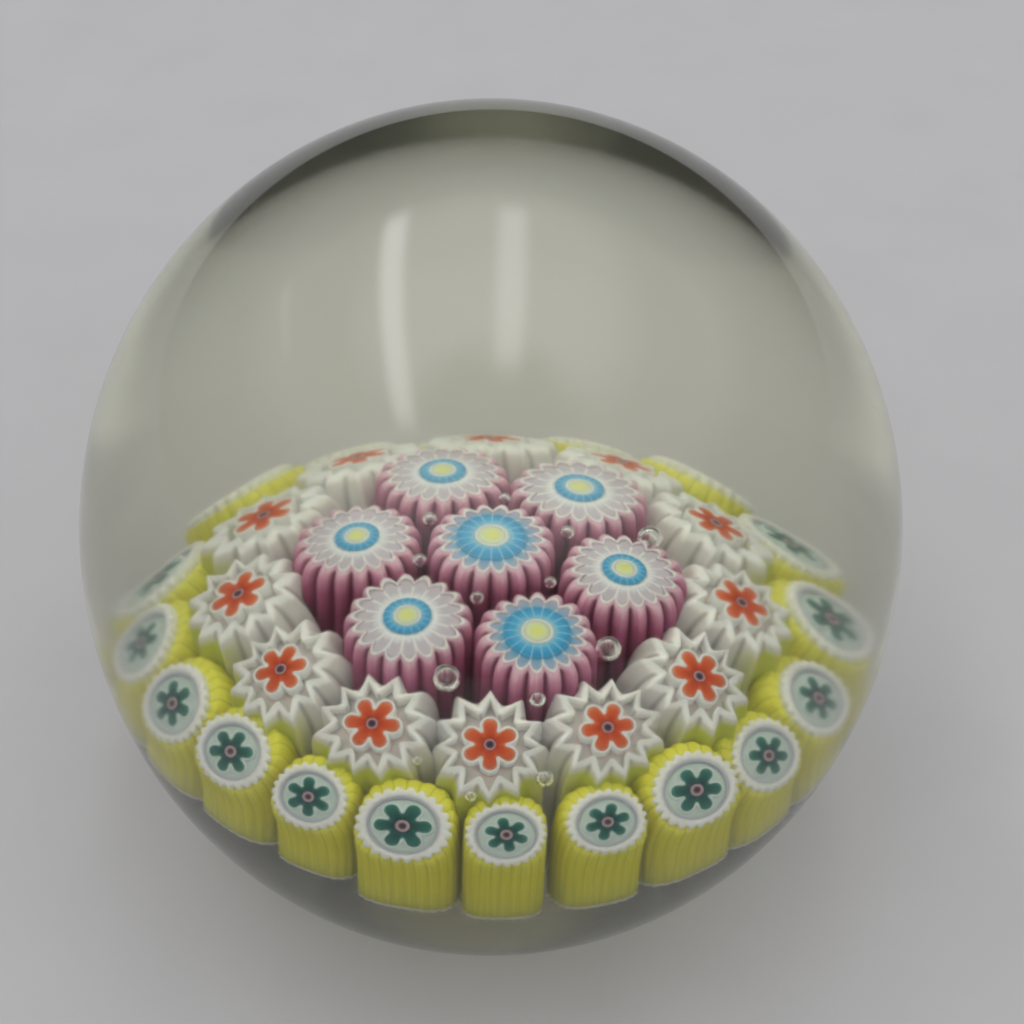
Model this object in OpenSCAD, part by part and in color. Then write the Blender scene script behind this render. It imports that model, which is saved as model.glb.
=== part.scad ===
// Millefiori paperweight: a clear glass dome fused to a clear glass base, with 37 patterned glass
// canes standing between them in three rings round a centre cane. Each cane is a stack of coloured
// glass layers, one inside the next. Millimetres, +Z up, origin at the middle of the resting face.

/* [Glass body] */
// Widest diameter of the glass
glass_d = 75; // [70:1:85]
// Height of the widest section above the resting face
waist_h = 29.7; // [28:0.1:31]
// Height of the top of the dome above the widest section
dome_h = 40.3; // [38:0.1:44]
// Width of the ground bevel round the resting face
bevel = 0.8; // [0.4:0.1:1.2]

/* [Cane pattern] */
// Radius of the curved surface that the cane faces lie on
pattern_r = 24; // [23:0.5:26]
// Height of the centre cane's face
pattern_top = 30.4; // [29.5:0.1:31]
// Distance from the axis to the middle of a core cane's face
core_ring_r = 8.2; // [8.1:0.1:8.6]
// Distance from the axis to the middle of a middle cane's face
middle_ring_r = 14.9; // [14.7:0.1:15.4]
// Distance from the axis to the middle of an outer cane's face
outer_ring_r = 19.4; // [19.3:0.1:20]
// Turn of the core ring about the axis, in degrees
core_turn = 21.5; // [0:0.5:60]
// Turn of the middle ring about the axis, in degrees
middle_turn = 1; // [0:0.5:30]
// Turn of the outer ring about the axis, in degrees
outer_turn = 4.4; // [0:0.1:20]

/* [Canes] */
// Radius of a core cane over its ribs
core_r = 3.9; // [3.5:0.1:3.95]
// Radius of a middle cane over its points
middle_r = 3.75; // [3.4:0.05:3.75]
// Radius of an outer cane over its ribs
outer_r = 2.95; // [2.7:0.05:2.95]
// Outward lean of a core cane, in degrees
core_lean = 1; // [0:0.5:1.5]
// Outward lean of a middle cane, in degrees
middle_lean = 4; // [0:1:4]
// Outward lean of an outer cane, in degrees
outer_lean = 14; // [10:1:14]
// Outward slope of a core cane's face, in degrees
core_slope = 12; // [5:1:20]
// Outward slope of a middle cane's face, in degrees
middle_slope = 34; // [25:1:40]
// Outward slope of an outer cane's face, in degrees
outer_slope = 45; // [35:1:50]

/* [Pad under the canes] */
// Height of the pad under the outer ring
pad_h = 12.4; // [11:0.1:13]
// Rise of the pad's crown at the axis
crown_rise = 5; // [3:0.5:6]
// Radius of the crown where it meets the flat rim of the pad
crown_r = 14; // [13:0.5:15]

/* [Hidden] */
$fn = 96;
core_count = 6;
middle_count = 12;
outer_count = 18;
// Ribs, points and teeth round each kind of cane
core_ribs = 18;
middle_points = 12;
outer_ribs = 24;
// Half width of a rib at its crest and at its foot, as shares of the distance from rib to rib
rib_crest = 0.12;
rib_foot = 0.30;
// A star's round lobes: how many there are, and the radii of a lobe and of the hub as shares of its reach
star_lobes = 6;
lobe_share = 0.27;
hub_share = 0.55;

// Outer cane, from the outside in: ribs, jacket, thread, star, ring and dot
outer_rib_depth = 0.05 * outer_r;
jacket_r = 0.88 * outer_r;
jacket_tooth = 0.10 * outer_r;
thread_r = 0.64 * outer_r;
thread_w = 0.05 * outer_r;
green_r = 0.51 * outer_r;
green_ring_r = 0.14 * outer_r;
green_dot_r = 0.08 * outer_r;

// Middle cane, from the outside in: points, clear fill, star, ring and dot
point_depth = 0.26 * middle_r;
fill_r = 0.94 * middle_r;
orange_r = 0.47 * middle_r;
orange_ring_r = 0.11 * middle_r;
orange_dot_r = 0.07 * middle_r;

// Core cane, from the outside in: ribs, petals, blue zone, white ring and yellow centre
core_rib_depth = 0.07 * core_r;
petal_r = 0.90 * core_r;
petal_depth = 0.10 * core_r;
blue_wide_r = 0.68 * core_r;
blue_narrow_r = 0.38 * core_r;
white_ring_r = 0.28 * core_r;
yellow_r = 0.22 * core_r;
// The wide blue kind of core cane: the centre cane and the first of the ring
wide_blue = [0, 1];

// Width of the white outline round a star
outline_w = 0.15;

// Widest radius, radius of the resting face over its bevel, and height of the bevel's cone
dome_r = glass_d / 2;
base_r = dome_r * sqrt(1 - pow(waist_h / dome_h, 2));
bevel_h = 2.5 * bevel;
bevel_spread = 5 * bevel;
// Radius of the ball that the pad's crown is cut from
crown_ball_r = (crown_r * crown_r + crown_rise * crown_rise) / (2 * crown_rise);
// How far a cane is drawn past its face and past its foot before it is cut
over = 6;
reach = 24;
// How far one cut runs into the next so that no skin is left between them
overlap = 1;
// Side of the blocks that cut the faces, the pad and the resting face
block = 120;

function two_digits(n) = n < 10 ? str("0", n) : str(n);
OUTER = [for (k = [1:outer_count]) str("outer_cane_", two_digits(k))];
MIDDLE = [for (k = [1:middle_count]) str("middle_cane_", two_digits(k))];
CORE = [for (k = [0:core_count]) str("core_cane_", k)];

// ---- Outlines ----

// A wheel of n rounded ribs: each rib has a flat crest and falls to a narrow valley
module ribbed(r, depth, n) {
    step = 360 / n;
    corners = [[-rib_foot, r - depth], [-rib_crest, r], [rib_crest, r], [rib_foot, r - depth]];
    polygon([for (k = [0:n - 1], p = corners)
        p[1] * [cos((k + p[0]) * step), sin((k + p[0]) * step)]]);
}

// A wheel of n sharp points
module pointed(r, depth, n) {
    step = 180 / n;
    polygon([for (k = [0:2 * n - 1])
        (k % 2 == 0 ? r : r - depth) * [cos(k * step), sin(k * step)]]);
}

// A star of six round lobes that reaches out to r, thickened all round by skin
module lobed(r, skin = 0) {
    lobe = lobe_share * r;
    circle(hub_share * r + skin);
    for (k = [0:star_lobes - 1])
        rotate(k * 360 / star_lobes) translate([r - lobe, 0]) circle(lobe + skin);
}

// ---- Places of the canes ----

// Height of the pattern's curved surface at a distance from the axis
function pattern_z(r) = pattern_top - pattern_r + sqrt(pattern_r * pattern_r - r * r);

// Angle about the axis of cane k of n, counted from the front
function cane_angle(turn, k, n) = turn + k * 360 / n - 90;

// Raises an outline into a cane that stands in a ring, leans outwards and has a sloping face
module cane(ring_r, angle, lean, slope) {
    rotate([0, 0, angle]) translate([ring_r, 0, pattern_z(ring_r)]) difference() {
        rotate([0, lean, 0]) translate([0, 0, -reach]) linear_extrude(reach + over) children();
        rotate([0, slope, 0])
            translate([-block / 2, -block / 2, 0]) cube([block, block, block / 2]);
    }
}

// The space filled by the pad: everything below its flat rim and its crown
module pad() {
    translate([-block / 2, -block / 2, pad_h - block]) cube(block);
    intersection() {
        translate([0, 0, pad_h + crown_rise - crown_ball_r]) sphere(crown_ball_r);
        translate([0, 0, pad_h - overlap]) cylinder(r = block / 2, h = block / 2);
    }
}

module core_place(k) {
    angle = cane_angle(core_turn, k - 1, core_count);
    if (k == 0)
        cane(0, angle, 0, 0) children();
    else
        cane(core_ring_r, angle, core_lean, core_slope) children();
}

module middle_place(k) {
    angle = cane_angle(middle_turn, k, middle_count);
    cane(middle_ring_r, angle, middle_lean, middle_slope) children();
}

module outer_place(k) {
    angle = cane_angle(outer_turn, k, outer_count);
    cane(outer_ring_r, angle, outer_lean, outer_slope) children();
}

module all_core() {
    for (k = [0:core_count]) core_place(k) children();
}

module all_middle() {
    for (k = [0:middle_count - 1]) middle_place(k) children();
}

module all_outer() {
    for (k = [0:outer_count - 1]) outer_place(k) children();
}

// ---- Room for each ring: a hot cane gives way to the ring that lies outside it ----

module outer_room() {
    difference() {
        children();
        pad();
    }
}

module middle_room() {
    difference() {
        children();
        pad();
        all_outer() circle(outer_r);
    }
}

module core_room() {
    difference() {
        children();
        pad();
        all_middle() circle(middle_r);
    }
}

// ---- Clear glass ----

// The whole outside of the paperweight, with its flat ground base and bevel
module glass_outline() {
    intersection() {
        translate([0, 0, waist_h]) scale([1, 1, dome_h / dome_r]) sphere(dome_r, $fn = 128);
        union() {
            cylinder(r1 = base_r - bevel, r2 = base_r + bevel_spread, h = bevel_h);
            translate([0, 0, bevel_h]) cylinder(r = dome_r + overlap, h = block);
        }
    }
}

// Round pockets, as wide as the canes over their ribs
module pockets() {
    all_core() circle(core_r);
    all_middle() circle(middle_r);
    all_outer() circle(outer_r);
}

module dome_glass() {
    color([0.86, 0.90, 0.86, 0.35]) difference() {
        glass_outline();
        pad();
        pockets();
    }
}

module base_glass() {
    color([0.80, 0.84, 0.80, 0.5]) intersection() {
        glass_outline();
        pad();
    }
}

// ---- Outer canes: yellow, white jacket, green star ----

module outer_casing(k) {
    color([0.80, 0.80, 0.16]) outer_room() outer_place(k) difference() {
        ribbed(outer_r, outer_rib_depth, outer_ribs);
        pointed(jacket_r, jacket_tooth, outer_ribs);
    }
}

module outer_white_jackets() {
    color([0.93, 0.94, 0.90]) outer_room() all_outer() difference() {
        pointed(jacket_r, jacket_tooth, outer_ribs);
        circle(thread_r);
    }
}

module outer_lilac_threads() {
    color([0.62, 0.62, 0.70]) outer_room() all_outer() difference() {
        circle(thread_r);
        circle(thread_r - thread_w);
    }
}

module outer_clear_fills() {
    color([0.72, 0.80, 0.74]) outer_room() all_outer() difference() {
        circle(thread_r - thread_w);
        lobed(green_r, outline_w);
    }
}

module outer_star_outlines() {
    color([0.95, 0.96, 0.94]) outer_room() all_outer() difference() {
        lobed(green_r, outline_w);
        lobed(green_r);
    }
}

module outer_green_stars() {
    color([0.13, 0.40, 0.33]) outer_room() all_outer() difference() {
        lobed(green_r);
        circle(green_ring_r);
    }
}

module outer_pale_rings() {
    color([0.80, 0.68, 0.70]) outer_room() all_outer() difference() {
        circle(green_ring_r);
        circle(green_dot_r);
    }
}

module outer_dark_dots() {
    color([0.18, 0.10, 0.14]) outer_room() all_outer() circle(green_dot_r);
}

// ---- Middle canes: white points, orange star ----

module middle_casing(k) {
    color([0.93, 0.92, 0.90]) middle_room() middle_place(k) difference() {
        pointed(middle_r, point_depth, middle_points);
        pointed(fill_r, point_depth, middle_points);
    }
}

module middle_clear_fills() {
    color([0.84, 0.78, 0.77]) middle_room() all_middle() difference() {
        pointed(fill_r, point_depth, middle_points);
        lobed(orange_r, outline_w);
    }
}

module middle_star_outlines() {
    color([0.96, 0.95, 0.93]) middle_room() all_middle() difference() {
        lobed(orange_r, outline_w);
        lobed(orange_r);
    }
}

module middle_orange_stars() {
    color([0.84, 0.33, 0.18]) middle_room() all_middle() difference() {
        lobed(orange_r);
        circle(orange_ring_r);
    }
}

module middle_pale_rings() {
    color([0.85, 0.72, 0.70]) middle_room() all_middle() difference() {
        circle(orange_ring_r);
        circle(orange_dot_r);
    }
}

module middle_dark_dots() {
    color([0.28, 0.10, 0.24]) middle_room() all_middle() circle(orange_dot_r);
}

// ---- Core canes: pink ribs, white petals, blue zone, yellow centre ----

function blue_r(k) = len(search(k, wide_blue)) > 0 ? blue_wide_r : blue_narrow_r;

module core_casing(k) {
    color([0.62, 0.33, 0.47]) core_room() core_place(k) difference() {
        ribbed(core_r, core_rib_depth, core_ribs);
        ribbed(petal_r, petal_depth, core_ribs);
    }
}

module core_petal_edges() {
    color([0.92, 0.90, 0.93]) core_room() for (k = [0:core_count]) core_place(k) difference() {
        ribbed(petal_r, petal_depth, core_ribs);
        circle(blue_r(k));
    }
}

module core_blue_zones() {
    color([0.28, 0.58, 0.78]) core_room() for (k = [0:core_count]) core_place(k) difference() {
        circle(blue_r(k));
        circle(white_ring_r);
    }
}

module core_white_rings() {
    color([0.93, 0.95, 0.95]) core_room() all_core() difference() {
        circle(white_ring_r);
        circle(yellow_r);
    }
}

module core_yellow_centres() {
    color([0.88, 0.88, 0.60]) core_room() all_core() circle(yellow_r);
}

// ---- Drawing ----

dome_glass();
base_glass();
for (k = [0:outer_count - 1])
    outer_casing(k);
for (k = [0:middle_count - 1])
    middle_casing(k);
for (k = [0:core_count])
    core_casing(k);
outer_white_jackets();
outer_lilac_threads();
outer_clear_fills();
outer_star_outlines();
outer_green_stars();
outer_pale_rings();
outer_dark_dots();
middle_clear_fills();
middle_star_outlines();
middle_orange_stars();
middle_pale_rings();
middle_dark_dots();
core_petal_edges();
core_blue_zones();
core_white_rings();
core_yellow_centres();
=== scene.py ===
"""A millefiori paperweight: a clear glass body with 37 patterned glass canes standing in it.

Every cane is built from the same parts. A stack of layers (casing, jacket, star, dot and so on) fills
the cane's round face from rim to middle, and each layer runs down the cane as a closed solid. A layer
is given by two outlines, its inner and its outer edge, as functions of the angle round the cane.
"""
import math

import bpy
import numpy as np
from mathutils import Matrix, Vector


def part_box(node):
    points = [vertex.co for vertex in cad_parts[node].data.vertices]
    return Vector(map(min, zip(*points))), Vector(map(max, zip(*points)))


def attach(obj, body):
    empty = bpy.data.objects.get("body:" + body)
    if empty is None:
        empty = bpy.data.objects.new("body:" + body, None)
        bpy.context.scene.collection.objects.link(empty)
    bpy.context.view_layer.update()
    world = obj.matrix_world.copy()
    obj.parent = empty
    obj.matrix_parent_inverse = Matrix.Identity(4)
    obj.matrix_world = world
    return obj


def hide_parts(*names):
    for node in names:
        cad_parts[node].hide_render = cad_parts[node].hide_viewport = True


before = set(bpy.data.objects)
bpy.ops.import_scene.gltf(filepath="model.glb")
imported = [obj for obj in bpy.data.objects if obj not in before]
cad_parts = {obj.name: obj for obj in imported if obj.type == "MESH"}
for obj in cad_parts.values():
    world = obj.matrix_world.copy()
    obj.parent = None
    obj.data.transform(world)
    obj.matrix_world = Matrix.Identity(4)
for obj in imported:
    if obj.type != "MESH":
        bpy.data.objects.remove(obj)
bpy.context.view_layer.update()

MM = 0.001
TURN = 2 * math.pi

# ---- Sizes that the frame gives ----

DOME_LOW, DOME_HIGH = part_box("dome_glass")
PAD_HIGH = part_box("base_glass")[1]
GLASS_R = (DOME_HIGH.x - DOME_LOW.x) / 2
GLASS_TOP = DOME_HIGH.z
PAD_H = DOME_LOW.z
CROWN_RISE = PAD_HIGH.z - PAD_H

# ---- Driving dimensions that the frame's boxes don't give ----

WAIST_H = 29.7 * MM
BEVEL = 0.8 * MM
CROWN_R = 14 * MM
PATTERN_R = 24 * MM
PATTERN_TOP = 30.4 * MM

# One entry for each ring of canes, in millimetres and degrees: how far out the faces lie, the slope of a
# face, how far the foot stands inside the face, half the face across the ring and along it, half the
# body on its outer side, its inner side and along the ring, how far below the face the body is full,
# the share of the body left at the foot, how square the body is, how far the face is crowned, and how
# much of a cane's own size its body follows.
RINGS = {
    "core": dict(r=8.2, slope=12, drift=0.4, face=(3.60, 3.60), body=(3.98, 3.98, 3.96),
                 shoulder=1.4, foot=0.96, square=2.3, crown=0.40, follow=0.2),
    "middle": dict(r=14.9, slope=36, drift=2.2, face=(3.48, 3.48), body=(3.95, 4.40, 4.00),
                   shoulder=2.6, foot=0.90, square=2.4, crown=0.30, follow=0.5),
    "outer": dict(r=19.4, slope=45, drift=2.0, face=(2.92, 3.18), body=(2.95, 3.90, 3.22),
                  shoulder=0.9, foot=0.96, square=2.9, crown=0.28, follow=1.0),
}


# ---- Colours and materials ----

def srgb(r, g, b):
    """A colour given in display values from 0 to 255, as the linear colour that shaders take."""
    return tuple(((v / 255 + 0.055) / 1.055) ** 2.4 if v > 10 else v / 255 / 12.92
                 for v in (r, g, b)) + (1.0,)


def new_material(name):
    mat = bpy.data.materials.new(name)
    mat.use_nodes = True
    tree = mat.node_tree
    return mat, tree.nodes, tree.links, tree.nodes["Principled BSDF"]


def ramp_node(nodes, stops):
    """A colour ramp with the given (position, colour) stops."""
    ramp = nodes.new("ShaderNodeValToRGB")
    elements = ramp.color_ramp.elements
    elements[0].position, elements[0].color = stops[0]
    elements[1].position, elements[1].color = stops[-1]
    for position, colour in stops[1:-1]:
        elements.new(position).color = colour
    return ramp


def math_node(nodes, links, operation, first, second=None):
    """A Math node whose inputs are sockets or plain numbers."""
    node = nodes.new("ShaderNodeMath")
    node.operation = operation
    for socket, value in zip(node.inputs, (first, second)):
        if isinstance(value, bpy.types.NodeSocket):
            links.new(value, socket)
        elif value is not None:
            socket.default_value = value
    return node.outputs["Value"]


def fade(nodes, links, value, start, end):
    """0 where value is at start, rising smoothly to 1 where it is at end."""
    fall = nodes.new("ShaderNodeMapRange")
    fall.interpolation_type = "SMOOTHSTEP"
    links.new(value, fall.inputs["Value"])
    fall.inputs["From Min"].default_value = start
    fall.inputs["From Max"].default_value = end
    return fall.outputs["Result"]


def blend(nodes, links, amount, first, second):
    """The colour socket first, turned by amount into the colour second."""
    mix = nodes.new("ShaderNodeMix")
    mix.data_type = "RGBA"
    links.new(amount, mix.inputs["Factor"])
    links.new(first, mix.inputs["A"])
    mix.inputs["B"].default_value = second
    return mix.outputs["Result"]


def cane_map(nodes, links):
    """Where a point lies in its own cane: a vector round its middle, and how far it is through its layer."""
    place = nodes.new("ShaderNodeAttribute")
    place.attribute_name = "cane_map"
    split = nodes.new("ShaderNodeSeparateXYZ")
    links.new(place.outputs["Vector"], split.inputs["Vector"])
    return place.outputs["Vector"], split.outputs


def distance(nodes, links, point):
    """How far a point of the surface is from the given point."""
    away = nodes.new("ShaderNodeVectorMath")
    away.operation = "DISTANCE"
    links.new(nodes.new("ShaderNodeTexCoord").outputs["Object"], away.inputs[0])
    away.inputs[1].default_value = point
    return away.outputs["Value"]


def streaks(nodes, links, vector, scale, stretch):
    """Noise drawn out along the cane by stretch."""
    mapping = nodes.new("ShaderNodeMapping")
    mapping.inputs["Scale"].default_value = (scale, scale, scale / stretch)
    noise = nodes.new("ShaderNodeTexNoise")
    noise.inputs["Scale"].default_value = 1
    noise.inputs["Detail"].default_value = 4
    links.new(vector, mapping.inputs["Vector"])
    links.new(mapping.outputs["Vector"], noise.inputs["Vector"])
    return noise.outputs["Fac"]


# Cane colours are clearest at this point, at the front of the pattern, and pale towards a painted haze
# between
# these two distances from it: painted light, standing in for light scattered in the glass over the canes
# further off
CLEAREST = (0, -18 * MM, 24 * MM)
PAINTED_HAZE_START, PAINTED_HAZE_END = 20 * MM, 44 * MM
PAINTED_HAZE_MOST = 0.35
PAINTED_HAZE = srgb(208, 210, 198)

# Where the lines, the painted bounce light and the seam start and end, as shares of the way through a layer
LINES_START, LINES_FULL = 0.0, 0.02
PAINTED_BOUNCE_START, PAINTED_BOUNCE_FULL = 0.02, 0.09
SEAM_START, SEAM_FULL = 0.958, 0.975
# How far out on a cane's outer side the painted bounce light starts and is full
PAINTED_BOUNCE_INNER, PAINTED_BOUNCE_OUTER = 0.1, 0.75


def cane_glass(name, stops, scale=14, stretch=2, spread=0.35, milk=0.25, lines=None, seam=None, painted_bounce=None):
    """Coloured cane glass: the stops run through the layer, from its inner edge to its outer edge or from
    its face to its foot, streaked along the cane. It is a little milky, and has no shine of its own,
    because it is fused into clear glass of nearly the same refraction. Lines are (count, half width,
    colour) of fine lines that run outwards: a pattern on the faces, and painted shade in the valleys of a
    casing's ribs and folds. Seam is the colour of a thin line at the foot, and blush is painted light: the
    colour of light from the ring outside, laid on lower down. All colours also pale with distance from the
    front of the pattern into a painted haze."""
    mat, nodes, links, shader = new_material(name)
    vector, (across, along, through) = cane_map(nodes, links)
    noise = streaks(nodes, links, vector, scale, stretch)
    stray = math_node(nodes, links, "MULTIPLY", math_node(nodes, links, "SUBTRACT", noise, 0.5), spread)
    ramp = ramp_node(nodes, stops)
    links.new(math_node(nodes, links, "ADD", through, stray), ramp.inputs["Fac"])
    colour = ramp.outputs["Color"]
    # On the casings these lines are painted shade in the valleys of the ribs and folds; on the faces they
    # are pattern
    if lines:
        count, half, line_colour = lines
        angle = math_node(nodes, links, "ARCTAN2", along, across)
        wave = math_node(nodes, links, "COSINE", math_node(nodes, links, "MULTIPLY", angle, count / 2))
        line = math_node(nodes, links, "MULTIPLY", fade(nodes, links, through, LINES_START, LINES_FULL),
                         fade(nodes, links, math_node(nodes, links, "ABSOLUTE", wave), half, 0.0))
        colour = blend(nodes, links, line, colour, line_colour)
    # Painted light: colour from the ring outside, laid on the outer side below the face
    if painted_bounce:
        outside = math_node(nodes, links, "MULTIPLY", fade(nodes, links, across, PAINTED_BOUNCE_INNER, PAINTED_BOUNCE_OUTER),
                            fade(nodes, links, through, PAINTED_BOUNCE_START, PAINTED_BOUNCE_FULL))
        colour = blend(nodes, links, outside, colour, painted_bounce)
    if seam:
        colour = blend(nodes, links, fade(nodes, links, through, SEAM_START, SEAM_FULL), colour, seam)
    # Painted haze: each colour pales with its distance from the front of the pattern
    far = fade(nodes, links, distance(nodes, links, CLEAREST), PAINTED_HAZE_START, PAINTED_HAZE_END)
    colour = blend(nodes, links, math_node(nodes, links, "MULTIPLY", far, PAINTED_HAZE_MOST), colour, PAINTED_HAZE)
    links.new(colour, shader.inputs["Base Color"])
    bump = nodes.new("ShaderNodeBump")
    bump.inputs["Strength"].default_value = 0.15
    bump.inputs["Distance"].default_value = 0.1 * MM
    links.new(noise, bump.inputs["Height"])
    links.new(bump.outputs["Normal"], shader.inputs["Normal"])
    shader.inputs["Roughness"].default_value = 0.8
    shader.inputs["Specular IOR Level"].default_value = 0.0
    shader.inputs["Subsurface Weight"].default_value = milk
    shader.inputs["Subsurface Radius"].default_value = (1.0, 0.8, 0.6)
    shader.inputs["Subsurface Scale"].default_value = 0.6 * MM
    return mat


def yellow_glass():
    # The lines are painted shade, darkening the valleys of the casing's ribs
    return cane_glass("yellow_glass", [(0.0, srgb(240, 236, 92)), (0.2, srgb(232, 226, 56)),
                                       (0.7, srgb(216, 210, 46)), (1.0, srgb(190, 190, 52))],
                      scale=26, stretch=30, spread=0.9, lines=(24, 0.25, srgb(204, 202, 50)),
                      seam=srgb(238, 238, 222))


def white_glass():
    return cane_glass("white_glass", [(0.0, srgb(246, 244, 242)), (1.0, srgb(252, 250, 248))], milk=0.4)


def outline_glass():
    return cane_glass("outline_glass", [(0.0, srgb(214, 236, 230)), (1.0, srgb(230, 242, 238))], milk=0.4)


def jacket_glass():
    return cane_glass("jacket_glass", [(0.0, srgb(226, 224, 228)), (0.3, srgb(244, 242, 240)),
                                       (1.0, srgb(252, 252, 248))], milk=0.4)


def ruffle_glass():
    # Painted shade: the grey just under the white rim, and the lines in the valleys of the folds. Painted
    # light: the yellow laid on the outer side lower down, from the outer ring
    return cane_glass("ruffle_glass", [(0.0, srgb(255, 255, 254)), (0.014, srgb(253, 252, 250)),
                                       (0.032, srgb(228, 226, 226)), (0.15, srgb(232, 230, 230)),
                                       (1.0, srgb(224, 220, 220))],
                      scale=20, stretch=20, spread=0.03, milk=0.5, lines=(12, 0.55, srgb(188, 184, 182)),
                      painted_bounce=srgb(204, 210, 84))


def lilac_glass():
    return cane_glass("lilac_glass", [(0.0, srgb(184, 190, 200)), (1.0, srgb(206, 208, 218))])


def grey_green_glass():
    return cane_glass("grey_green_glass", [(0.0, srgb(226, 238, 234)), (0.4, srgb(204, 220, 214)),
                                           (1.0, srgb(216, 226, 220))], milk=0.5)


def green_glass():
    return cane_glass("green_glass", [(0.0, srgb(20, 66, 74)), (0.4, srgb(22, 88, 82)),
                                      (0.8, srgb(36, 110, 98)), (1.0, srgb(70, 142, 128))])


def pale_pink_glass():
    return cane_glass("pale_pink_glass", [(0.0, srgb(168, 140, 150)), (1.0, srgb(206, 184, 188))])


def dark_glass():
    return cane_glass("dark_glass", [(0.0, srgb(40, 24, 36)), (1.0, srgb(92, 60, 80))])


def pinkish_clear_glass():
    return cane_glass("pinkish_clear_glass", [(0.0, srgb(234, 208, 204)), (0.4, srgb(216, 206, 204)),
                                              (1.0, srgb(206, 202, 200))], milk=0.6)


def orange_glass():
    return cane_glass("orange_glass", [(0.0, srgb(190, 62, 24)), (0.4, srgb(208, 82, 38)),
                                       (0.8, srgb(220, 102, 58)), (1.0, srgb(230, 146, 112))])


def pink_glass():
    # The lines are painted shade, darkening the valleys of the casing's ribs
    return cane_glass("pink_glass", [(0.0, srgb(232, 192, 210)), (0.04, srgb(212, 148, 178)),
                                     (0.12, srgb(182, 104, 140)), (0.25, srgb(156, 86, 116)),
                                     (1.0, srgb(140, 82, 108))],
                      scale=16, stretch=20, spread=0.12, milk=0.4, lines=(18, 0.75, srgb(118, 54, 82)))


def petal_glass():
    """Petals of the usual core cane: a white halo round the blue, then pale lilac."""
    return cane_glass("petal_glass", [(0.0, srgb(206, 228, 240)), (0.10, srgb(244, 246, 248)),
                                     (0.22, srgb(230, 230, 236)), (0.45, srgb(200, 194, 206)),
                                     (1.0, srgb(208, 196, 210))],
                      milk=0.4, lines=(18, 0.55, srgb(244, 242, 246)))


def wide_petal_glass():
    """Petals round a wide blue zone, into which the blue runs out."""
    return cane_glass("wide_petal_glass", [(0.0, srgb(112, 180, 220)), (0.35, srgb(146, 180, 208)),
                                           (1.0, srgb(184, 178, 204))],
                      milk=0.4, lines=(18, 0.50, srgb(228, 232, 242)))


def blue_glass():
    return cane_glass("blue_glass", [(0.0, srgb(158, 212, 234)), (0.35, srgb(92, 176, 222)),
                                     (0.8, srgb(66, 158, 214)), (1.0, srgb(104, 178, 220))],
                      milk=0.3, lines=(18, 0.26, srgb(186, 222, 238)))


def pale_yellow_glass():
    return cane_glass("pale_yellow_glass", [(0.0, srgb(232, 234, 128)), (0.45, srgb(226, 232, 160)),
                                            (1.0, srgb(222, 234, 214))])


# Clear glass: least roughness, what the clouds add, what the flanks add and what rubbing adds underneath
POLISH, CLOUDING, FLANK_WEAR, RUBBING = 0.035, 0.06, 0.045, 0.3
# How far out the flanks start and are fully worn, as shares of the glass's radius
FLANK_START, FLANK_FULL = 0.55, 0.95
# Heights from which the rubbed resting face, with its painted shade, starts and is full
RUBBED_AND_SHADED_TOP, RUBBED_AND_SHADED_FULL = 0.9 * MM, 0.1 * MM
# Painted shade: a darker tint on the resting face, standing in for the contact shadow under the base
PAINTED_SHADE_TINT = (0.68, 0.63, 0.54, 1.0)
# Tiny nicks: cells in a metre, radius in cells, and the cloud values over which they appear
NICK_CELLS, NICK_R = 150, 0.035
NICKS_START, NICKS_FULL = 0.50, 0.58


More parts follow.
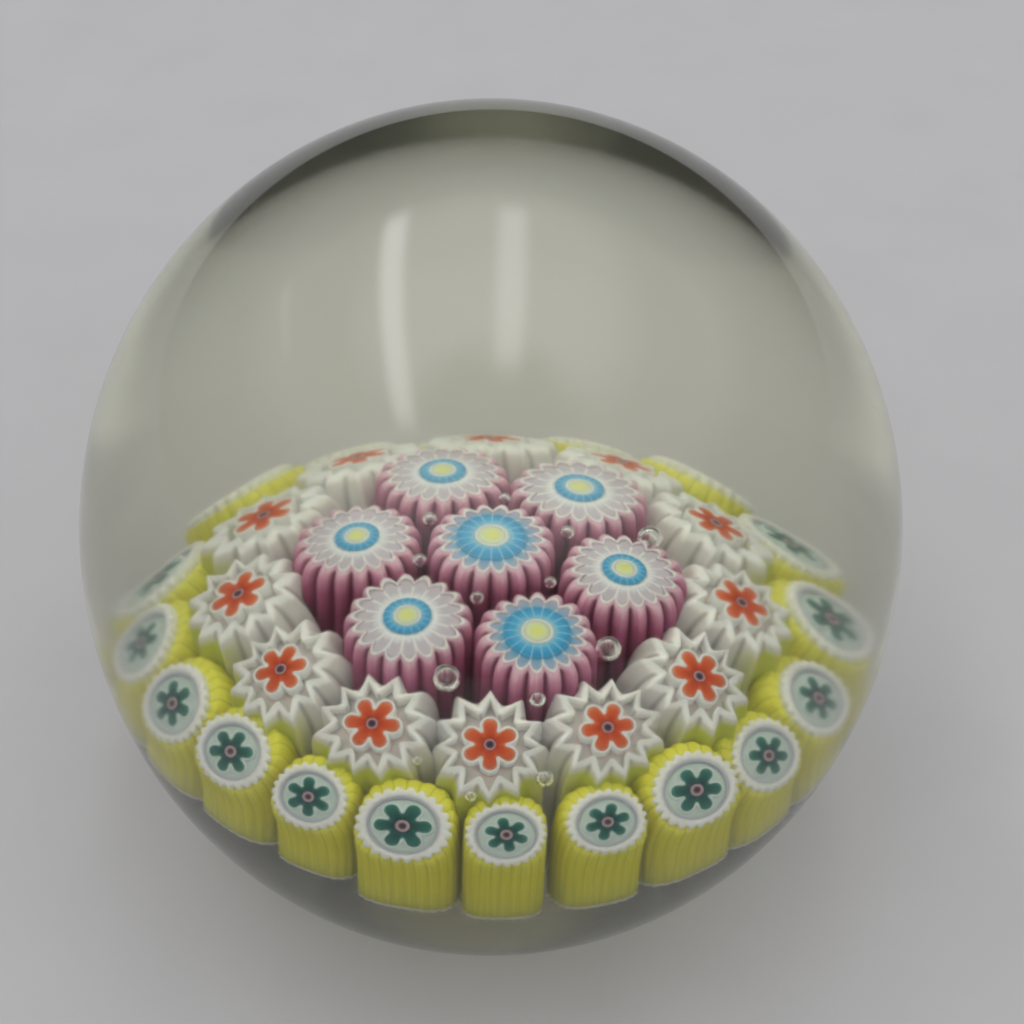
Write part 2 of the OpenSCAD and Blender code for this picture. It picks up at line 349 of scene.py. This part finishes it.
def clear_glass():
    """Old fire-polished clear glass: a faint grey-green tint with depth, a slightly dulled surface with
    tiny nicks here and there, and a resting face that use has rubbed, with painted shade on that face that
    darkens what is seen through it, standing in for the contact shadow under the base."""
    mat, nodes, links, shader = new_material("clear_glass")
    shader.inputs["IOR"].default_value = 1.5
    shader.inputs["Transmission Weight"].default_value = 1.0
    coords = nodes.new("ShaderNodeTexCoord").outputs["Object"]
    split = nodes.new("ShaderNodeSeparateXYZ")
    links.new(coords, split.inputs["Vector"])
    cloud = streaks(nodes, links, coords, 90, 1)
    under = fade(nodes, links, split.outputs["Z"], RUBBED_AND_SHADED_TOP, RUBBED_AND_SHADED_FULL)
    # Painted shade on the resting face darkens what is seen through it
    tint = ramp_node(nodes, [(0.0, (1.0, 1.0, 1.0, 1.0)), (1.0, PAINTED_SHADE_TINT)])
    links.new(under, tint.inputs["Fac"])
    links.new(tint.outputs["Color"], shader.inputs["Base Color"])
    rubbed = math_node(nodes, links, "MULTIPLY", under, math_node(
        nodes, links, "MULTIPLY", streaks(nodes, links, coords, 900, 6), RUBBING))
    flank = fade(nodes, links, math_node(nodes, links, "ABSOLUTE", split.outputs["X"]),
                 FLANK_START * GLASS_R, FLANK_FULL * GLASS_R)
    worn = math_node(nodes, links, "ADD", rubbed, math_node(nodes, links, "MULTIPLY", flank, FLANK_WEAR))
    dull = math_node(nodes, links, "ADD", math_node(nodes, links, "MULTIPLY", cloud, CLOUDING), POLISH)
    links.new(math_node(nodes, links, "ADD", dull, worn), shader.inputs["Roughness"])
    cells = nodes.new("ShaderNodeTexVoronoi")
    cells.inputs["Scale"].default_value = NICK_CELLS
    links.new(coords, cells.inputs["Vector"])
    nicks = math_node(nodes, links, "MULTIPLY", fade(nodes, links, cells.outputs["Distance"], NICK_R, 0.0),
                      fade(nodes, links, cloud, NICKS_START, NICKS_FULL))
    bump = nodes.new("ShaderNodeBump")
    bump.inputs["Strength"].default_value = 0.6
    bump.inputs["Distance"].default_value = 0.05 * MM
    bump.invert = True
    links.new(nicks, bump.inputs["Height"])
    links.new(bump.outputs["Normal"], shader.inputs["Normal"])
    depth = nodes.new("ShaderNodeVolumeAbsorption")
    depth.inputs["Color"].default_value = (0.94, 1.0, 0.22, 1.0)
    depth.inputs["Density"].default_value = 3.0
    links.new(depth.outputs["Volume"], nodes["Material Output"].inputs["Volume"])
    return mat


def floor_paper():
    mat, nodes, links, shader = new_material("floor_paper")
    coords = nodes.new("ShaderNodeTexCoord")
    noise = streaks(nodes, links, coords.outputs["Object"], 60, 1)
    ramp = ramp_node(nodes, [(0.3, srgb(183, 182, 184)), (0.7, srgb(186, 185, 187))])
    links.new(noise, ramp.inputs["Fac"])
    links.new(ramp.outputs["Color"], shader.inputs["Base Color"])
    shader.inputs["Roughness"].default_value = 0.9
    shader.inputs["Specular IOR Level"].default_value = 0.1
    return mat


# ---- Outlines of the layers: radius as a share of the cane's face, at the angles t ----

def round_edge(r):
    return lambda t, cane: np.full_like(t, r)


def uneven(t, cane, amount):
    """A slow waver round an edge, different in each cane."""
    phase = 5 * cane["turn"] + 3 * cane["angle"]
    return 1 + amount * (0.6 * np.sin(2 * t + phase) + 0.4 * np.sin(3 * t - 2 * phase))


def ribbed_edge(r, depth, ribs):
    """Rounded crests with sharp valleys between them."""
    return lambda t, cane: (r - depth * (1 - np.abs(np.cos(ribs * t / 2)))) * uneven(t, cane, 0.025)


def folded_edge(r, depth, folds):
    """Sharp folds with rounded valleys between them."""
    return lambda t, cane: (r - depth * np.abs(np.sin(folds * t / 2))) * uneven(t, cane, 0.06)


def star_edge(reach, skin=0.0):
    """Six round lobes round a hub. Skin thickens the star by that much all round."""
    lobe, hub = 0.27 * reach, 0.54 * reach
    middle = reach - lobe

    def edge(t, cane):
        size = cane["star"]
        off = np.abs((t - cane["turn"] + TURN / 12) % (TURN / 6) - TURN / 12)
        inside = (lobe * size + skin) ** 2 - (middle * size * np.sin(off)) ** 2
        reach_out = middle * size * np.cos(off) + np.sqrt(np.maximum(inside, 0))
        waist = hub * size + skin
        outline = np.where(inside > 0, np.maximum(reach_out, waist), waist)
        return (np.roll(outline, 1) + 2 * outline + np.roll(outline, -1)) / 4
    return edge


def sized(edge, key):
    """The same edge, made larger or smaller by the cane's own value for key."""
    return lambda t, cane: edge(t, cane) * cane[key]


# ---- Canes ----

def pattern_z(r):
    """Height of the curved surface that the faces lie on."""
    return PATTERN_TOP - PATTERN_R + math.sqrt(PATTERN_R ** 2 - r ** 2)


def pad_z(r):
    """Height of the pad's top: a flat rim round a low crown."""
    ball = (CROWN_R ** 2 + CROWN_RISE ** 2) / (2 * CROWN_RISE)
    if r > CROWN_R:
        return PAD_H
    return PAD_H + CROWN_RISE - ball + math.sqrt(ball ** 2 - r ** 2)


def frame_angle(node):
    """The angle about the upright axis at which a CAD node stands."""
    low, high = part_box(node)
    middle = (low + high) / 2
    return math.atan2(middle.y, middle.x)


def make_cane(ring, node, turn, size=1.0, star=1.0, rise=0.0, drop=0.0, lean=0.0):
    """What one cane needs to know of itself. Turn is how far its pattern is turned, in degrees; size
    scales its face and star its star. Rise is how far its foot stands above the pad and drop how far its
    face lies below the others, in millimetres. Lean is added to the slope of its face, in degrees."""
    spec = RINGS[ring]
    at_axis = node == "core_cane_0"
    r = 0.0 if at_axis else spec["r"] * MM
    drift = 0.0 if at_axis else spec["drift"] * MM
    top = pattern_z(r) - drop * MM
    fullness = 1 + spec["follow"] * (size - 1)
    return dict(
        node=node, angle=frame_angle(node), turn=math.radians(turn), star=star, r=r, drift=drift,
        slope=0.0 if at_axis else math.radians(spec["slope"] + lean), top=top,
        length=top - pad_z(r - drift) - rise * MM, face=[v * MM * size for v in spec["face"]],
        body=[v * MM * fullness for v in spec["body"]], shoulder=spec["shoulder"] * MM,
        foot=spec["foot"], square=spec["square"], crown=spec["crown"] * MM)


def place(cane, depth, x, y, lift=0.0):
    """Points x outwards and y sideways from the cane's middle, at a depth below its face. Lift raises
    them square to the face."""
    left = max(1 - depth / cane["length"], 0.0)
    slope = cane["slope"] * left ** 1.5
    out = cane["r"] - cane["drift"] * (1 - left ** 3) + x * math.cos(slope) + lift * math.sin(slope)
    up = cane["top"] - depth - x * math.sin(slope) + lift * math.cos(slope)
    ca, sa = math.cos(cane["angle"]), math.sin(cane["angle"])
    return np.stack([out * ca - y * sa, out * sa + y * ca, up], axis=1)


def narrowing(cane, depth):
    """The share of the cane's width that is left at a depth."""
    return 1 - (1 - cane["foot"]) * depth / cane["length"]


# How much the layers inside a casing draw in under the face, over the height of the shoulder
DRAW_IN = 0.15


def inlay_row(cane, depth, share, t, lift=0.0):
    """Points of a layer inside the casing, at a share of the face."""
    width = share * narrowing(cane, depth) * (1 - DRAW_IN * min(depth / cane["shoulder"], 1))
    return place(cane, depth, cane["face"][0] * width * np.cos(t), cane["face"][1] * width * np.sin(t), lift)


def face_lift(cane, share):
    """How far the face is crowned at a share of its radius."""
    return cane["crown"] * (1 - share ** 2)


def body_reach(cane, t):
    """The body's half width at the angles t: a rounded square, wider on its inner side."""
    outer, inner, along = cane["body"]
    across = np.where(np.cos(t) > 0, outer, inner)
    power = cane["square"]
    return ((np.abs(np.cos(t)) / across) ** power + (np.abs(np.sin(t)) / along) ** power) ** (-1 / power)


def casing_row(cane, depth, edge, ribs, t):
    """Points of the casing's outside: from its edge at the face it swells over a rounded shoulder into
    the ribbed body."""
    swell = math.sin(math.acos(1 - min(depth / cane["shoulder"], 1)))
    reach = body_reach(cane, t) * ribs(t, cane) * narrowing(cane, depth)
    share = edge(t, cane)
    x = (1 - swell) * cane["face"][0] * share * np.cos(t) + swell * reach * np.cos(t)
    y = (1 - swell) * cane["face"][1] * share * np.sin(t) + swell * reach * np.sin(t)
    return place(cane, depth, x, y)


def mark_row(share, t, through):
    """What the materials read at a row of points: a vector round the cane's middle, and how far the
    points are through their layer."""
    return np.stack([share * np.cos(t), share * np.sin(t), np.full_like(t, through)], axis=1)


def ring_faces(base, rows, n, closed):
    """Faces between rows of n points each, and from the last row back to the first if closed."""
    faces = []
    for i in range(rows if closed else rows - 1):
        a, b = base + i * n, base + (i + 1) % rows * n
        faces += [(a + k, b + k, b + (k + 1) % n, a + (k + 1) % n) for k in range(n)]
    return faces


# Points round each layer
SAMPLES = 144


def make_piece(name, material, nodes, verts, marks, faces):
    """A smooth piece that rides on the paperweight and stands for its CAD nodes."""
    mesh = bpy.data.meshes.new(name)
    mesh.from_pydata([tuple(v) for v in verts], [], faces)
    mesh.polygons.foreach_set("use_smooth", [True] * len(mesh.polygons))
    layer_map = mesh.attributes.new("cane_map", "FLOAT_VECTOR", "POINT")
    layer_map.data.foreach_set("vector", np.concatenate(marks).ravel())
    mesh.update()
    piece = bpy.data.objects.new(name, mesh)
    bpy.context.scene.collection.objects.link(piece)
    mesh.materials.append(material)
    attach(piece, "root")
    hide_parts(*nodes)


def inlay(name, material, nodes, canes, inner, outer, steps=3, pillow=0.04 * MM, sink=0.0):
    """One layer in each of the canes, from its inner to its outer edge, as a closed solid that runs down
    to the foot. A layer with no inner edge is a solid core. Pillow raises the middle of its face, and
    sink is how far its face lies below the rim."""
    verts, marks, faces = [], [], []
    t = np.linspace(0, TURN, SAMPLES, endpoint=False)
    for cane in canes:
        near = inner(t, cane) if inner else np.zeros_like(t)
        far = outer(t, cane)
        rows = []
        for k in range(0 if inner else 1, steps + 1):
            s = k / steps
            share = near + (far - near) * s
            lift = face_lift(cane, share) + pillow * 4 * s * (1 - s)
            rows.append((inlay_row(cane, sink, share, t, lift), mark_row(share, t, s)))
        depths = [sink + cane["shoulder"] / 2, sink + cane["shoulder"], cane["length"] / 2, cane["length"]]
        rows += [(inlay_row(cane, depth, far, t), mark_row(far, t, 1)) for depth in depths]
        if inner:
            rows += [(inlay_row(cane, depth, near, t), mark_row(near, t, 0)) for depth in reversed(depths)]
        base = sum(len(v) for v in verts)
        faces += ring_faces(base, len(rows), SAMPLES, closed=inner is not None)
        verts += [row for row, mark in rows]
        marks += [mark for row, mark in rows]
        if inner is None:
            zero = np.zeros(1)
            last = base + (len(rows) - 1) * SAMPLES
            for ring, depth, lift in ((base, sink, face_lift(cane, 0) + pillow), (last, cane["length"], 0)):
                middle = sum(len(v) for v in verts)
                verts.append(inlay_row(cane, depth, zero, zero, lift))
                marks.append(mark_row(zero, zero, 0))
                pairs = [(ring + k, ring + (k + 1) % SAMPLES) for k in range(SAMPLES)]
                faces += [(middle, p, q) if ring == base else (middle, q, p) for p, q in pairs]
    make_piece(name, material, nodes, np.concatenate(verts), marks, faces)


# How far the middle of a casing's rim is raised, and how far below its well its inside turns to the foot
RIM_LIFT = 0.05 * MM
WELL_BOTTOM = 1.0 * MM


def casing(name, material, cane, inner, edge, ribs, start=0.0, well=0.0):
    """The casing round one cane's layers. It starts at a depth below the face, and its inside is seen
    down to the depth well."""
    t = np.linspace(0, TURN, SAMPLES, endpoint=False)
    length, shoulder = cane["length"], cane["shoulder"]
    swell = [shoulder * (1 - math.cos(math.radians(a))) for a in range(0, 91, 10)]
    depths = [start + d for d in swell] + [start + shoulder + (length - start - shoulder) * k / 6
                                           for k in range(1, 7)]
    near, far = inner(t, cane), edge(t, cane)
    rows = [(casing_row(cane, d, edge, ribs, t), mark_row(1, t, d / length)) for d in depths]
    for d in (length, length / 2, max(well, start) + WELL_BOTTOM, start):
        rows.append((inlay_row(cane, d, near, t, face_lift(cane, near) if d == start else 0.0),
                     mark_row(near, t, d / length)))
    rim = (near + far) / 2
    rows.append((inlay_row(cane, start, rim, t, face_lift(cane, rim) + RIM_LIFT), mark_row(rim, t, 0)))
    faces = ring_faces(0, len(rows), SAMPLES, closed=True)
    make_piece(name, material, [cane["node"]], np.concatenate([row for row, mark in rows]),
               [mark for row, mark in rows], faces)


# One value for each cane, in the order of its number: how far its pattern is turned, the sizes of its face
# and star, how far its foot stands above the pad, how far its face lies below the others, and how much
# more its face slopes. Lengths are in millimetres and angles in degrees.
OUTER_TURNS = [10, 35, 5, 50, 20, 40, 0, 30, 15, 55, 25, 45, 10, 30, 50, 5, 20, 40]
OUTER_SIZES = [0.86, 0.88, 1.03, 0.94, 0.96, 1.0, 0.96, 1.0, 0.96,
               1.0, 0.96, 1.0, 0.96, 0.92, 0.98, 0.96, 0.88, 1.02]
OUTER_STARS = [0.96, 1.0, 1.04, 1.0, 0.98, 1.06, 1.0, 1.02, 0.96,
               1.0, 0.98, 1.04, 1.0, 0.95, 1.0, 1.04, 1.05, 1.08]
OUTER_RISES = [0.0, 0.3, 0.6, 0.5, 0.3, 0.4, 0.2, 0.5, 0.3, 0.4, 0.2, 0.5, 0.6, 1.0, 1.4, 1.6, 1.5, 0.5]
OUTER_DROPS = [0.0, 0.0, 0.0, 1.1, 1.2, 0.3, -0.3, -0.9, -0.4, 0.1, -0.2, -0.6, 1.4, 1.2, 0.8, 0.0, 0.0, 0.0]
OUTER_LEANS = [0, 0, 0, 4, 6, 6, 4, 14, 14, 14, 14, 16, 18, 18, 12, 3, 0, 0]
MIDDLE_TURNS = [0, 20, 40, 10, 30, 50, 15, 35, 55, 5, 25, 45]
MIDDLE_STARS = [1.0, 0.97, 1.04, 1.0, 0.95, 1.0, 1.0, 0.95, 1.02, 1.0, 0.96, 1.0]
CORE_SIZES = [0.92, 0.91, 0.93, 1.0, 0.93, 0.91, 1.03]
# How far out the blue zone and the white ring reach, as shares of the face, and how many of the core canes
# are of the wide blue kind
WIDE_BLUE, NARROW_BLUE = (0.66, 0.32), (0.41, 0.24)
WIDE_COUNT = 2


def build_outer():
    names = [f"outer_cane_{k:02d}" for k in range(1, 19)]
    canes = [make_cane("outer", *row) for row in zip(names, OUTER_TURNS, OUTER_SIZES, OUTER_STARS,
                                                       OUTER_RISES, OUTER_DROPS, OUTER_LEANS)]
    jacket, jacket_in = ribbed_edge(1.01, 0.11, 24), round_edge(0.76)
    thread_in, ring, dot = round_edge(0.72), round_edge(0.15), round_edge(0.08)
    skin, star = star_edge(0.56, 0.045), star_edge(0.56)
    ribs, wall = ribbed_edge(1.0, 0.035, 24), ribbed_edge(0.97, 0.08, 24)
    yellow = yellow_glass()
    for cane in canes:
        casing(cane["node"].replace("cane", "casing"), yellow, cane,
               round_edge(0.85), wall, ribs, start=0.25 * MM)
    inlay("outer_jacket_inlays", jacket_glass(), ["outer_white_jackets"],
          canes, jacket_in, jacket, steps=5, pillow=0.14 * MM)
    inlay("outer_thread_inlays", lilac_glass(), ["outer_lilac_threads"],
          canes, thread_in, jacket_in)
    inlay("outer_fill_inlays", grey_green_glass(), ["outer_clear_fills"],
          canes, skin, thread_in, sink=0.12 * MM)
    inlay("outer_star_skins", outline_glass(), ["outer_star_outlines"],
          canes, star, skin)
    inlay("outer_star_inlays", green_glass(), ["outer_green_stars"], canes, ring, star)
    inlay("outer_ring_inlays", MATERIALS["pale_pink"], ["outer_pale_rings"],
          canes, dot, ring)
    inlay("outer_dot_inlays", MATERIALS["dark"], ["outer_dark_dots"], canes, None, dot)


def build_middle():
    names = [f"middle_cane_{k:02d}" for k in range(1, 13)]
    canes = [make_cane("middle", name, turn, star=star)
             for name, turn, star in zip(names, MIDDLE_TURNS, MIDDLE_STARS)]
    fold, fold_in = folded_edge(1.0, 0.29, 12), folded_edge(0.94, 0.29, 12)
    skin, star = star_edge(0.53, 0.05), star_edge(0.53)
    ring, dot = round_edge(0.11), round_edge(0.075)
    ribs, ruffle = folded_edge(1.0, 0.18, 12), ruffle_glass()
    for cane in canes:
        casing(cane["node"].replace("cane", "casing"), ruffle, cane, fold_in, fold,
               ribs, well=1.0 * MM)
    inlay("middle_fill_inlays", pinkish_clear_glass(), ["middle_clear_fills"],
          canes, skin, fold_in, pillow=-0.1 * MM, sink=0.7 * MM)
    inlay("middle_star_skins", MATERIALS["white"], ["middle_star_outlines"],
          canes, star, skin)
    inlay("middle_star_inlays", orange_glass(), ["middle_orange_stars"],
          canes, ring, star)
    inlay("middle_ring_inlays", MATERIALS["pale_pink"], ["middle_pale_rings"],
          canes, dot, ring)
    inlay("middle_dot_inlays", MATERIALS["dark"], ["middle_dark_dots"], canes, None, dot)


def build_core():
    names = [f"core_cane_{k}" for k in range(7)]
    canes = [make_cane("core", name, 0, size) for name, size in zip(names, CORE_SIZES)]
    for k, cane in enumerate(canes):
        cane["blue"], cane["eye"] = WIDE_BLUE if k < WIDE_COUNT else NARROW_BLUE
    wide, usual = canes[:WIDE_COUNT], canes[WIDE_COUNT:]
    edge, edge_in = ribbed_edge(1.0, 0.19, 18), ribbed_edge(0.93, 0.19, 18)
    blue, ring = sized(round_edge(1.0), "blue"), sized(round_edge(1.0), "eye")
    centre = sized(round_edge(0.80), "eye")
    ribs, pink = ribbed_edge(1.0, 0.15, 18), pink_glass()
    for cane in canes:
        casing(cane["node"].replace("cane", "casing"), pink, cane, edge_in,
               ribbed_edge(1.01, 0.19, 18), ribs, start=0.06 * MM)
    inlay("core_edge_inlays", MATERIALS["white"], ["core_petal_edges"],
          canes, edge_in, edge, pillow=0.05 * MM)
    inlay("core_petal_inlays", petal_glass(), ["core_petal_edges"],
          usual, blue, edge_in, steps=6, pillow=-0.05 * MM, sink=0.1 * MM)
    inlay("core_wide_petal_inlays", wide_petal_glass(), ["core_petal_edges"],
          wide, blue, edge_in, steps=6, pillow=-0.05 * MM, sink=0.1 * MM)
    inlay("core_blue_inlays", blue_glass(), ["core_blue_zones"], canes, ring, blue)
    inlay("core_ring_inlays", MATERIALS["white"], ["core_white_rings"],
          canes, centre, ring)
    inlay("core_centre_inlays", pale_yellow_glass(), ["core_yellow_centres"],
          canes, None, centre)


# ---- Clear glass body ----

# Bubbles trapped at the joins between canes: x, y, height and radius, in millimetres
BUBBLES = [(-2.6, -11.2, 28.0, 0.95), (3.2, -12.2, 27.2, 0.55), (9.5, 2.3, 28.8, 0.80),
           (-3.8, 2.0, 30.2, 0.45), (-4.4, -1.9, 30.1, 0.45), (-0.8, -5.3, 30.0, 0.45),
           (3.7, -3.6, 30.0, 0.40), (4.6, 1.2, 30.1, 0.45), (0.7, 4.1, 30.3, 0.35),
           (7.5, -8.0, 28.2, 0.85), (3.9, -16.7, 23.8, 0.60), (-0.9, -17.9, 23.0, 0.40),
           (-4.4, -15.9, 24.5, 0.35)]


def glass_profile():
    """Points (radius, height) down the outside of the body, from the top to the middle of the resting
    face, and the radius of that face."""
    dome = GLASS_TOP - WAIST_H
    base_r = GLASS_R * math.sqrt(1 - (WAIST_H / dome) ** 2)
    low = math.asin((WAIST_H - 0.7 * BEVEL) / dome)
    steps = 120
    points = []
    for k in range(1, steps + 1):
        a = math.pi / 2 - (math.pi / 2 + low) * k / steps
        points.append((GLASS_R * math.cos(a), WAIST_H + dome * math.sin(a)))
    face_r = base_r - BEVEL
    points += [(base_r - 0.55 * BEVEL, 0.12 * BEVEL), (face_r, 0.0)]
    points += [(base_r * (1 - k / 6), 0.0) for k in range(1, 6)]
    return points, face_r


def ball_mesh(centre, radius, segments=24, rings=14):
    """A ball with its faces turned inwards, which makes it a hollow in the glass."""
    verts = [centre + Vector((0, 0, radius))]
    for i in range(1, rings):
        a = math.pi * i / rings
        for j in range(segments):
            b = TURN * j / segments
            verts.append(centre + radius * Vector((math.sin(a) * math.cos(b),
                                                   math.sin(a) * math.sin(b), math.cos(a))))
    verts.append(centre - Vector((0, 0, radius)))
    faces = []
    for j in range(segments):
        k = (j + 1) % segments
        faces.append((0, 1 + k, 1 + j))
        last = 1 + (rings - 2) * segments
        faces.append((len(verts) - 1, last + j, last + k))
        for i in range(rings - 2):
            a = 1 + i * segments
            faces.append((a + j, a + k, a + segments + k, a + segments + j))
    return verts, faces


def build_glass():
    """The whole clear body in one seamless piece, with its bubbles."""
    n = 192
    profile, face_r = glass_profile()
    verts = [Vector((0, 0, GLASS_TOP))]
    for r, z in profile:
        verts += [Vector((r * math.cos(TURN * k / n), r * math.sin(TURN * k / n), z))
                  for k in range(n)]
    verts.append(Vector((0, 0, 0)))
    faces = [(0, 1 + k, 1 + (k + 1) % n) for k in range(n)]
    for i in range(len(profile) - 1):
        a = 1 + i * n
        faces += [(a + k, a + n + k, a + n + (k + 1) % n, a + (k + 1) % n) for k in range(n)]
    last = 1 + (len(profile) - 1) * n
    faces += [(len(verts) - 1, last + (k + 1) % n, last + k) for k in range(n)]
    for x, y, z, r in BUBBLES:
        ball_verts, ball_faces = ball_mesh(Vector((x, y, z)) * MM, r * MM)
        faces += [tuple(len(verts) + v for v in face) for face in ball_faces]
        verts += ball_verts
    mesh = bpy.data.meshes.new("clear_body")
    mesh.from_pydata(verts, [], faces)
    mesh.polygons.foreach_set("use_smooth", [True] * len(mesh.polygons))
    sharp = mesh.attributes.new("sharp_edge", "BOOLEAN", "EDGE")
    near = 0.01 * MM
    for edge in mesh.edges:
        ends = [mesh.vertices[v].co for v in edge.vertices]
        sharp.data[edge.index].value = all(co.z < near and abs(co.xy.length - face_r) < near for co in ends)
    mesh.update()
    body = bpy.data.objects.new("clear_body", mesh)
    bpy.context.scene.collection.objects.link(body)
    mesh.materials.append(clear_glass())
    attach(body, "root")
    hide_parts("dome_glass", "base_glass")


# ---- Stage ----

def build_floor():
    mesh = bpy.data.meshes.new("floor")
    side, gap = 3.0, 0.05 * MM
    mesh.from_pydata([(-side, -side, -gap), (side, -side, -gap), (side, side, -gap),
                      (-side, side, -gap)], [], [(0, 1, 2, 3)])
    floor = bpy.data.objects.new("floor", mesh)
    bpy.context.scene.collection.objects.link(floor)
    mesh.materials.append(floor_paper())


def soft_band(nodes, links, value, middle, half, soft):
    """1 within half of middle, falling smoothly to 0 over soft on both sides."""
    away = math_node(nodes, links, "ABSOLUTE", math_node(nodes, links, "SUBTRACT", value, middle))
    fall = nodes.new("ShaderNodeMapRange")
    fall.interpolation_type = "SMOOTHSTEP"
    links.new(away, fall.inputs["Value"])
    fall.inputs["From Min"].default_value = half - soft
    fall.inputs["From Max"].default_value = half + soft
    fall.inputs["To Min"].default_value = 1.0
    fall.inputs["To Max"].default_value = 0.0
    return fall.outputs["Result"]


# How bright the room is at a height above the horizon: (sine of the angle, brightness), for each side
FRONT_WALL = [(0.0, 0.10), (0.35, 0.20), (0.52, 1.50), (0.72, 1.40), (0.86, 0.30), (0.96, 0.35), (1.0, 1.8)]
SIDE_WALLS = [(0.0, 0.35), (0.40, 0.30), (0.58, 0.70), (0.78, 0.60), (0.90, 1.60), (1.0, 1.8)]
BACK_WALL = [(0.0, 0.05), (0.60, 0.05), (0.72, 0.40), (0.82, 1.20), (0.92, 1.30), (1.0, 1.8)]
ROOM_POWER = 2.0

# How far a direction turns from the side walls before the end walls start to show and show alone
WALL_START, WALL_FULL = 0.45, 0.9

# Ceiling tubes that run front to back: how far to the side, the middle and half of their length, all
# as shares of the ceiling's height, and brightness
TUBES = [(-0.48, 0.12, 0.66, 4.0), (0.05, 0.22, 0.48, 2.8), (-1.29, 0.45, 0.30, 0.8)]
# Half a tube's width, and how soft its sides and ends are
TUBE_HALF, TUBE_SIDE_SOFT, TUBE_END_SOFT = 0.06, 0.04, 0.12


def build_world():
    """A soft room: dark at the back, bright at the front and overhead, with long ceiling tubes."""
    world = bpy.data.worlds.new("room")
    bpy.context.scene.world = world
    world.use_nodes = True
    nodes, links = world.node_tree.nodes, world.node_tree.links
    coords = nodes.new("ShaderNodeTexCoord")
    split = nodes.new("ShaderNodeSeparateXYZ")
    links.new(coords.outputs["Generated"], split.inputs["Vector"])
    x, y, z = split.outputs
    walls = []
    for stops in (SIDE_WALLS, FRONT_WALL, BACK_WALL):
        ramp = ramp_node(nodes, [(at, (v / ROOM_POWER,) * 3 + (1.0,)) for at, v in stops])
        links.new(z, ramp.inputs["Fac"])
        walls.append(ramp.outputs["Color"])
    level = math_node(nodes, links, "SQRT", math_node(nodes, links, "MAXIMUM", math_node(
        nodes, links, "SUBTRACT", 1.0, math_node(nodes, links, "MULTIPLY", z, z)), 0.0001))
    facing = math_node(nodes, links, "DIVIDE", y, level)
    room_colour = walls[0]
    for wall, way in ((walls[1], -1), (walls[2], 1)):
        mix = nodes.new("ShaderNodeMix")
        mix.data_type = "RGBA"
        links.new(fade(nodes, links, facing, way * WALL_START, way * WALL_FULL), mix.inputs["Factor"])
        links.new(room_colour, mix.inputs["A"])
        links.new(wall, mix.inputs["B"])
        room_colour = mix.outputs["Result"]
    room = nodes["Background"]
    links.new(room_colour, room.inputs["Color"])
    room.inputs["Strength"].default_value = ROOM_POWER
    height = math_node(nodes, links, "MAXIMUM", z, 0.02)
    side = math_node(nodes, links, "DIVIDE", x, height)
    ahead = math_node(nodes, links, "DIVIDE", y, height)
    glow = None
    for aside, middle, half, power in TUBES:
        tube = math_node(nodes, links, "MULTIPLY",
                         soft_band(nodes, links, side, aside, TUBE_HALF, TUBE_SIDE_SOFT),
                         soft_band(nodes, links, ahead, middle, half, TUBE_END_SOFT))
        tube = math_node(nodes, links, "MULTIPLY", tube, power)
        glow = tube if glow is None else math_node(nodes, links, "ADD", glow, tube)
    tubes = nodes.new("ShaderNodeBackground")
    links.new(glow, tubes.inputs["Strength"])
    both = nodes.new("ShaderNodeAddShader")
    links.new(room.outputs["Background"], both.inputs[0])
    links.new(tubes.outputs["Background"], both.inputs[1])
    links.new(both.outputs["Shader"], nodes["World Output"].inputs["Surface"])


def build_camera():
    """Looks down at the body's middle from the front, a little turned about its own axis."""
    away, elevation, roll = 4.169 * GLASS_R, math.radians(42.2), math.radians(1.65)
    aim_right, aim_up = 1.83 * MM, 2.07 * MM
    centre = Vector((0, 0, WAIST_H))
    right = Vector((1, 0, 0))
    back = Vector((0, -math.cos(elevation), math.sin(elevation)))
    up = Vector((0, math.sin(elevation), math.cos(elevation)))
    stand = centre + away * back
    aim = centre + aim_right * right + aim_up * up
    z = (stand - aim).normalized()
    x = (right - z * z.x).normalized()
    y = z.cross(x)
    x, y = x * math.cos(roll) + y * math.sin(roll), y * math.cos(roll) - x * math.sin(roll)
    camera = bpy.data.cameras.new("camera")
    camera.sensor_width = 36
    camera.lens = 58.45
    camera.clip_start = 0.01
    holder = bpy.data.objects.new("camera", camera)
    bpy.context.scene.collection.objects.link(holder)
    holder.matrix_world = Matrix.Translation(stand) @ Matrix((x, y, z)).transposed().to_4x4()
    bpy.context.scene.camera = holder


build_camera()
MATERIALS = {"white": white_glass(), "pale_pink": pale_pink_glass(), "dark": dark_glass()}
build_outer()
build_middle()
build_core()
build_glass()
build_floor()
build_world()

scene = bpy.context.scene
scene.view_settings.view_transform = "Standard"
scene.cycles.max_bounces = 24
scene.cycles.transmission_bounces = 24
